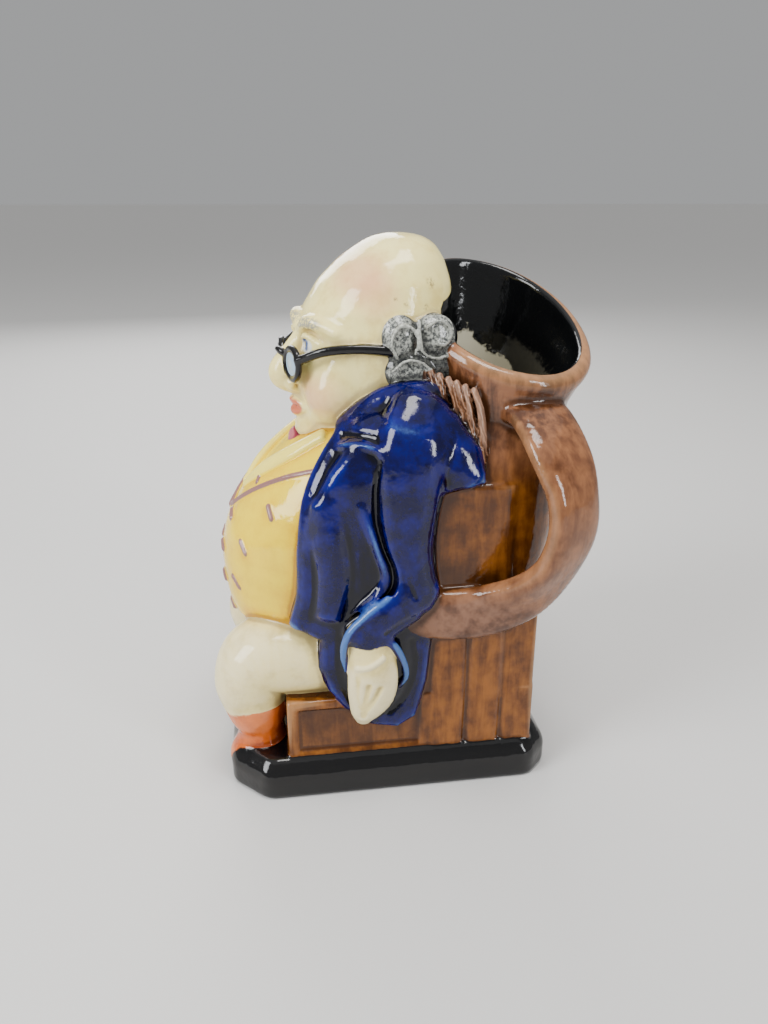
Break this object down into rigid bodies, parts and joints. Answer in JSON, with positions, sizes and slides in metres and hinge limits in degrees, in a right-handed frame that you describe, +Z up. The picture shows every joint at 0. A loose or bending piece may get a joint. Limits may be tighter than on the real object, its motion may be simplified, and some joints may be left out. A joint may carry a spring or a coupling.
{
  "type": "toby jug",
  "caption": "Glazed earthenware toby jug: a stout seated gentleman in a planked chair, with a slanted flared mouth behind the head and a strap handle on one side.",
  "frame": {"origin": "middle of the flat underside of the base", "axes": "+Z up, -Y the way the seated figure faces, +X to the figure's left, the side with the handle"},
  "size_m": [0.0995, 0.1156, 0.16],
  "materials": {
    "glaze": "gloss"
  },
  "bodies": {
    "root": {"toby_jug": "glaze"}
  },
  "joints": []
}
